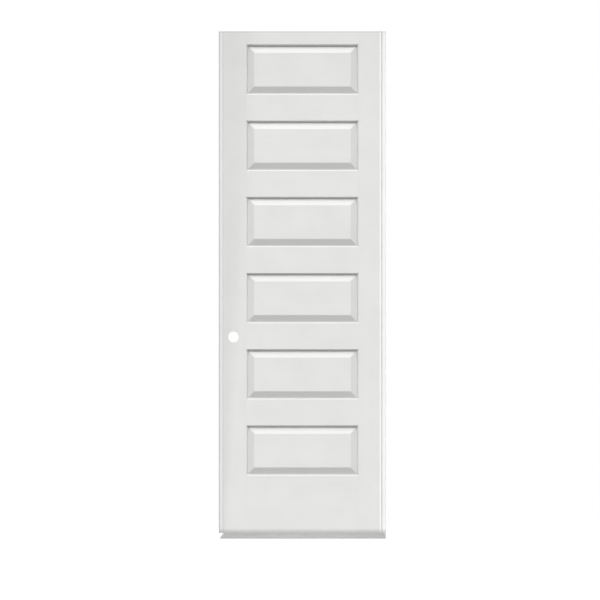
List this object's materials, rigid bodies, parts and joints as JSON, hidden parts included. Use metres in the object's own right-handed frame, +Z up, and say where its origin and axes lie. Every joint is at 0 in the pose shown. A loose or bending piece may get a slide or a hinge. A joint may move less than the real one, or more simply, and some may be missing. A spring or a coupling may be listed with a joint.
{
  "type": "interior door",
  "caption": "Tall primed interior door slab: stiles and rails around a column of raised panels, bored near one edge for a lockset and its latch.",
  "frame": {"origin": "middle of the slab's bottom edge, at half its width and half its thickness", "axes": "+X towards the hinge edge, +Y from the front face to the back face, +Z up"},
  "size_m": [0.8128, 0.0348, 2.4384],
  "materials": {
    "primer": "white primer on softwood, satin",
    "edge_primer": "whiter primer on the hinge edge strip, satin",
    "panel_primer": "white primer on a raised panel, satin",
    "bare_wood": "bare beech, matt"
  },
  "bodies": {
    "root": {"lock_stile": "primer", "hinge_stile": "primer", "lock_edge_strip": "primer", "hinge_edge_strip": "edge_primer", "top_rail": "primer", "cross_rail_1": "primer", "cross_rail_2": "primer", "cross_rail_3": "primer", "cross_rail_4": "primer", "cross_rail_5": "primer", "bottom_rail": "primer", "panel_1": "panel_primer", "panel_2": "panel_primer", "panel_3": "panel_primer", "panel_4": "panel_primer", "panel_5": "panel_primer", "panel_6": "panel_primer", "dowels": "bare_wood"}
  },
  "joints": []
}
